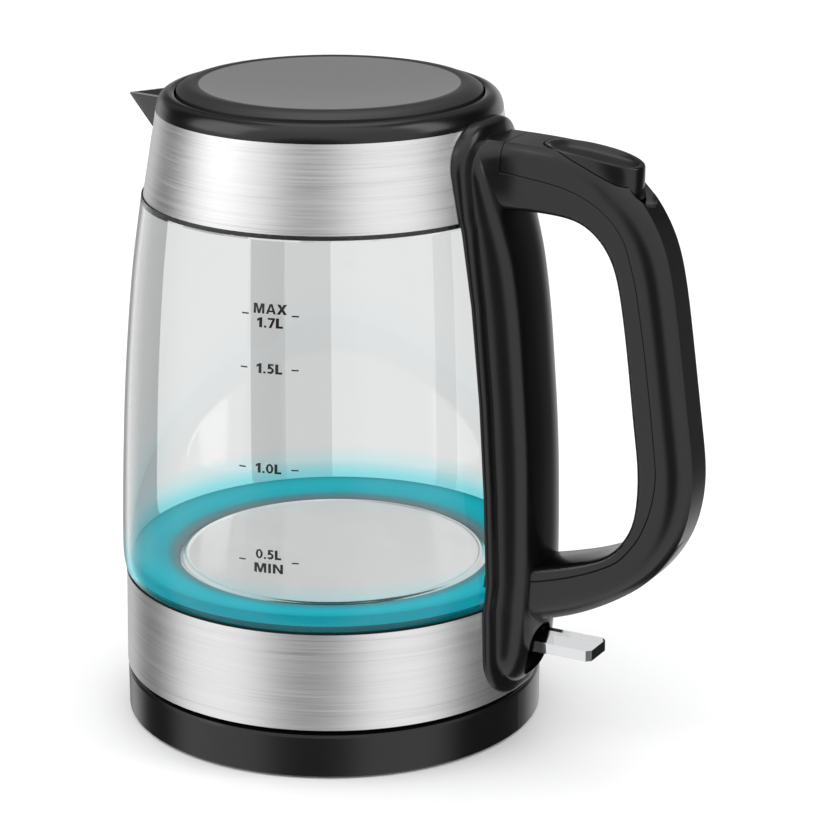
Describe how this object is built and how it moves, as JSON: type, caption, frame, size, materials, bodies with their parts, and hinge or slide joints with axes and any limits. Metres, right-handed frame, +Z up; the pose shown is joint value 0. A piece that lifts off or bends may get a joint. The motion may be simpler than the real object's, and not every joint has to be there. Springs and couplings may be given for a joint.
{
  "type": "electric kettle",
  "caption": "Cordless glass kettle with brushed steel collar and band, black handle, hinged lid, lit heating plate and a round swivel power base.",
  "frame": {"origin": "on the kettle's vertical axis, in the plane that the base's feet stand on", "axes": "+Z up along the kettle's axis, +X towards the handle, the spout at -X, XZ is the mirror plane"},
  "size_m": [0.2213, 0.1501, 0.2252],
  "materials": {
    "black_plastic": "satin moulded polypropylene",
    "black_inner_plastic": "matt",
    "brushed_steel": "brushed round the body",
    "plate_steel": "fine satin",
    "clear_glass": "clear borosilicate",
    "clear_acrylic": "clear, polished",
    "light_diffuser": "translucent, lit cyan",
    "black_rubber": "matt",
    "lid_panel": "satin charcoal",
    "contact_brass": "bright",
    "aluminium": "plain",
    "spring_steel": "bright",
    "screw_steel": "zinc plated",
    "circuit_board": "solder mask",
    "led_lens": "clear",
    "mesh_steel": "woven"
  },
  "bodies": {
    "power_base": {"base_cover": "black_plastic", "base_plate": "black_inner_plastic", "base_feet": "black_rubber", "base_screws": "screw_steel", "base_socket": "black_inner_plastic", "socket_contacts": "contact_brass", "cord_outlet": "black_inner_plastic"},
    "shutter_ring": {"socket_shutter": "black_inner_plastic"},
    "lid": {"lid_top": "lid_panel", "lid_inner": "black_inner_plastic", "lid_seal": "black_rubber"},
    "button": {"release_button": "black_plastic"},
    "latch": {"latch_slider": "black_inner_plastic"},
    "switch": {"switch_lever": "clear_acrylic"},
    "kettle": {"kettle_skirt": "black_plastic", "skirt_screws": "screw_steel", "kettle_connector": "black_inner_plastic", "thermostat_control": "black_inner_plastic", "lower_band": "brushed_steel", "lower_glass_seal": "black_rubber", "glass_body": "clear_glass", "upper_glass_seal": "black_rubber", "top_collar": "brushed_steel", "top_rim": "black_plastic", "neck_liner": "black_inner_plastic", "lid_seat": "black_inner_plastic", "spout": "black_plastic", "spout_filter": "black_inner_plastic", "filter_mesh": "mesh_steel", "heating_plate": "plate_steel", "heat_spreader": "aluminium", "heating_element": "spring_steel", "light_ring": "light_diffuser", "led_housing": "black_inner_plastic", "led_board": "circuit_board", "led_chips": "led_lens", "spine_cover": "black_plastic", "steam_tube": "black_inner_plastic", "steam_switch": "black_inner_plastic", "handle_frame": "black_plastic", "handle_cover": "black_plastic", "handle_screws": "screw_steel", "lid_hinge_pin": "spring_steel", "lid_spring": "spring_steel", "button_pin": "spring_steel", "lever_pin": "spring_steel", "button_spring": "spring_steel"}
  },
  "joints": [
    {"name": "swivel", "type": "hinge", "parent": "power_base", "child": "shutter_ring", "pos_m": [0, 0, 0], "axis": [0, 0, 1], "continuous": true},
    {"name": "lift_off", "type": "slide", "parent": "shutter_ring", "child": "kettle", "axis": [0, 0, 1], "range_m": [0, 0.1]},
    {"name": "lid_hinge", "type": "hinge", "parent": "kettle", "child": "lid", "pos_m": [0.0465, 0, 0.2222], "axis": [0, 1, 0], "range_deg": [0, 62]},
    {"name": "button_press", "type": "hinge", "parent": "kettle", "child": "button", "pos_m": [0.083, 0, 0.208], "axis": [0, 1, 0], "range_deg": [0, 5.5], "stiffness_Nm_per_rad": 0.4, "springref_deg": -2.86, "deforming": ["button_spring"]},
    {"name": "latch_slide", "type": "slide", "parent": "kettle", "child": "latch", "axis": [1, 0, 0], "range_m": [0, 0.0017]},
    {"name": "switch_press", "type": "hinge", "parent": "kettle", "child": "switch", "pos_m": [0.07, 0, 0.0371], "axis": [0, 1, 0], "range_deg": [0, 18]}
  ],
  "couplings": [
    {"joint": "latch_slide", "follows": "button_press", "m_per_rad": 0.0166}
  ]
}
